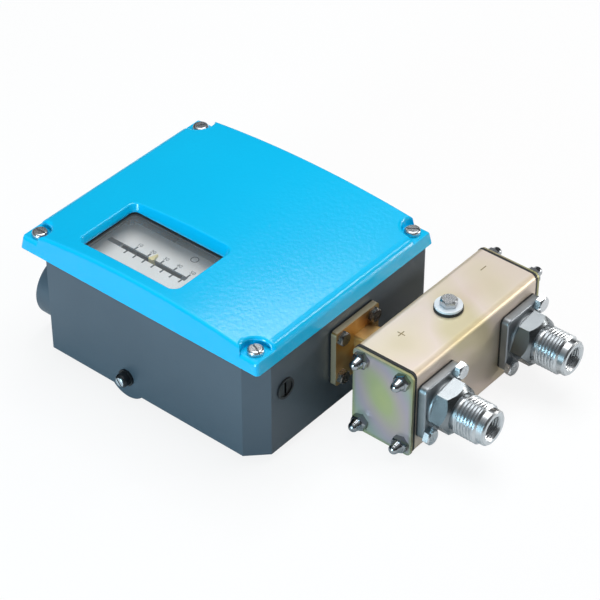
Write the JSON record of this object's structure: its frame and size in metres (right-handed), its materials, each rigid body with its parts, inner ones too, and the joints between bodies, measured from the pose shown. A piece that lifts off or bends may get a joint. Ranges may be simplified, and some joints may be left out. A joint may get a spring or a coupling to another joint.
{
  "type": "differential pressure switch",
  "caption": "Wall-mounted differential pressure switch: dark housing, blue screwed cover with a scale window, and a plated sensor casing with two threaded ports.",
  "frame": {"origin": "centre of the four wall fixing holes, on the back plane of the feet", "axes": "+Z out of the cover, +Y towards the cable entry, +X along the sensor casing from the high to the low port"},
  "size_m": [0.1711, 0.2403, 0.0776],
  "materials": {
    "housing_paint": "dark semi-gloss paint on a casting",
    "cover_paint": "glossy blue paint with a slight orange peel",
    "bright_zinc": "bright zinc plating",
    "yellow_zinc": "yellow passivated zinc plating with faint colour bands",
    "dark_steel": "blackened steel",
    "fitting_steel": "turned and milled steel",
    "black_rubber": "matte sealing rubber",
    "black_plastic": "matte moulded plastic",
    "glass": "clear flat pane",
    "plate_steel": "cut and pressed steel",
    "scale_white": "white enamelled plate with printed marks",
    "pointer_yellow": "pale yellow paint",
    "brass": "turned brass",
    "spring_steel": "drawn wire",
    "pale_plastic": "pale moulded plastic"
  },
  "bodies": {
    "case": {"access_plug": "black_plastic", "beam_pin": "plate_steel", "bellows_high": "brass", "bellows_low": "brass", "bellows_seats": "plate_steel", "cap_nuts": "bright_zinc", "chassis_plate": "plate_steel", "chassis_screws": "bright_zinc", "cover": "cover_paint", "cover_gasket": "black_rubber", "cover_screws": "bright_zinc", "earth_screw": "dark_steel", "earth_washer": "bright_zinc", "end_gasket_left": "black_rubber", "end_gasket_right": "black_rubber", "end_plate_left": "yellow_zinc", "end_plate_right": "yellow_zinc", "flange_gasket": "black_rubber", "flange_screws": "dark_steel", "front_bracket": "plate_steel", "guide_rod": "plate_steel", "housing": "housing_paint", "neck_flange": "yellow_zinc", "neck_ring": "bright_zinc", "pivot_bolt": "bright_zinc", "pivot_seal": "black_rubber", "pivot_spacers": "plate_steel", "pivot_washer": "bright_zinc", "port_fitting_high": "fitting_steel", "port_fitting_low": "fitting_steel", "port_flange_high": "bright_zinc", "port_flange_low": "bright_zinc", "port_gaskets": "black_rubber", "port_screws": "bright_zinc", "range_spring": "spring_steel", "rear_bracket": "plate_steel", "retainer_screws": "bright_zinc", "rod_bush": "brass", "scale_plate": "scale_white", "scale_posts": "plate_steel", "scale_screws": "bright_zinc", "sensor_casing": "yellow_zinc", "switch_body": "black_plastic", "switch_screws": "bright_zinc", "switch_stand": "plate_steel", "switch_tags": "brass", "terminal_block": "pale_plastic", "terminal_screws": "bright_zinc", "tie_rods": "bright_zinc", "window_pane": "glass", "window_retainer": "plate_steel", "window_seal": "black_rubber"},
    "rocker_arm": {"rocker": "plate_steel"},
    "rod": {"push_rod": "plate_steel"},
    "beam": {"switching_beam": "plate_steel"},
    "plunger": {"switch_plunger": "pale_plastic"},
    "spindle": {"setpoint_spindle": "brass"},
    "carriage": {"pointer_carriage": "brass", "pointer": "pointer_yellow"}
  },
  "joints": [
    {"name": "rocker_hinge", "type": "hinge", "parent": "case", "child": "rocker_arm", "pos_m": [0.04135, -0.106, 0.0315], "axis": [0, 0, 1], "range_deg": [-0.8, 0.8], "stiffness_Nm_per_rad": 0.5, "deforming": ["bellows_high", "bellows_low"]},
    {"name": "rod_slide", "type": "slide", "parent": "case", "child": "rod", "axis": [0, 1, 0], "range_m": [-0.0006, 0.0006]},
    {"name": "beam_hinge", "type": "hinge", "parent": "case", "child": "beam", "pos_m": [-0.016, -0.0587, 0.0403], "axis": [0, 0, 1], "range_deg": [-1.1, 1.1]},
    {"name": "plunger_slide", "type": "slide", "parent": "case", "child": "plunger", "axis": [0, 1, 0], "range_m": [-0.001, 0.001]},
    {"name": "spindle_turn", "type": "hinge", "parent": "case", "child": "spindle", "pos_m": [-0.0446, -0.0057, 0.0403], "axis": [0, 1, 0], "range_deg": [-4200, 4200]},
    {"name": "carriage_slide", "type": "slide", "parent": "case", "child": "carriage", "axis": [0, 1, 0], "range_m": [-0.017, 0.017], "deforming": ["range_spring"]}
  ],
  "couplings": [
    {"joint": "rod_slide", "follows": "rocker_hinge", "m_per_rad": -0.03235},
    {"joint": "beam_hinge", "follows": "rocker_hinge", "ratio": -1.294},
    {"joint": "plunger_slide", "follows": "rocker_hinge", "m_per_rad": -0.067288},
    {"joint": "spindle_turn", "follows": "carriage_slide", "rad_per_m": -4188.8}
  ]
}
